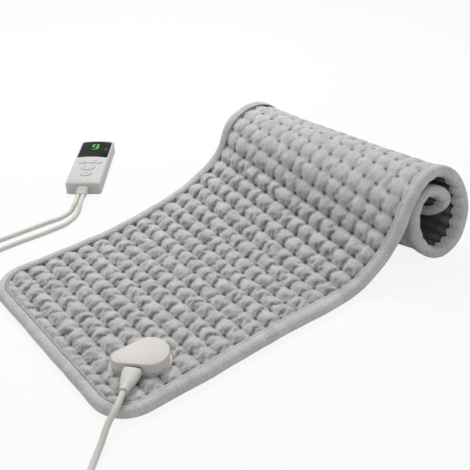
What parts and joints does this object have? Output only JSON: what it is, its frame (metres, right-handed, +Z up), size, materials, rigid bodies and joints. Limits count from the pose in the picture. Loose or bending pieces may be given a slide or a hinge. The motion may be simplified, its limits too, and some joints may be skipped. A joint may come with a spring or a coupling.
{
  "type": "heating pad with controller",
  "caption": "Quilted plush heating pad, partly rolled up, with an edge binding, a connector puck and a detachable lead to a hand controller with display, rocker and buttons.",
  "frame": {"origin": "on the floor, under the middle of the flat part of the pad", "axes": "+Z up, +X along the pad towards its rolled end, +Y across it to the side where the controller lies"},
  "size_m": [0.7138, 0.621, 0.1306],
  "materials": {
    "plush": "soft short plush",
    "felt": "felt",
    "heating_wire": "satin",
    "housing": "satin",
    "case": "satin",
    "cord": "satin",
    "lens": "gloss",
    "dark_plastic": "matte",
    "board": "satin",
    "steel": "satin",
    "brass": "satin"
  },
  "bodies": {
    "pad": {"pad_top_cover": "plush", "pad_bottom_cover": "plush", "heating_carrier": "felt", "heating_wire": "heating_wire", "thermal_cutout": "dark_plastic", "edge_binding": "plush", "connector_base": "housing", "connector_lid": "housing", "connector_screw_1": "steel", "connector_screw_2": "steel", "socket_block": "dark_plastic", "socket_pin_1": "brass", "socket_pin_2": "brass", "feed_wires": "cord"},
    "cordset": {"lead_plug": "housing", "controller_back": "case", "controller_front": "case", "cord_relief": "case", "lead_boot": "cord", "pad_lead": "cord", "mains_lead": "cord", "mains_coil": "cord", "mains_tail": "cord", "plug_boot": "cord", "plug_body": "cord", "display_lens": "lens", "display_module": "dark_plastic", "power_relay": "dark_plastic", "key_switch_up": "dark_plastic", "key_switch_down": "dark_plastic", "key_switch_mode": "dark_plastic", "key_switch_power": "dark_plastic", "cord_tie": "dark_plastic", "circuit_board": "board", "case_screw_1": "steel", "case_screw_2": "steel", "case_screw_3": "steel", "case_screw_4": "steel", "plug_sleeve_1": "brass", "plug_sleeve_2": "brass", "plug_blade_1": "brass", "plug_blade_2": "brass"},
    "level_rocker": {"level_rocker": "case"},
    "mode_button": {"mode_button": "case"},
    "power_button": {"power_button": "case"}
  },
  "joints": [
    {"name": "lead_unplug", "type": "slide", "parent": "pad", "child": "cordset", "axis": [-0.7738, -0.6334, 0], "range_m": [0, 0.018]},
    {"name": "level_rock", "type": "hinge", "parent": "cordset", "child": "level_rocker", "pos_m": [0.08888, 0.33057, 0.017], "axis": [0.6401, 0.7683, 0], "range_deg": [-3, 3], "stiffness_Nm_per_rad": 0.5},
    {"name": "mode_press", "type": "slide", "parent": "cordset", "child": "mode_button", "axis": [0, 0, -1], "range_m": [0, 0.0008], "stiffness_N_per_m": 900},
    {"name": "power_press", "type": "slide", "parent": "cordset", "child": "power_button", "axis": [0, 0, -1], "range_m": [0, 0.0008], "stiffness_N_per_m": 900}
  ]
}
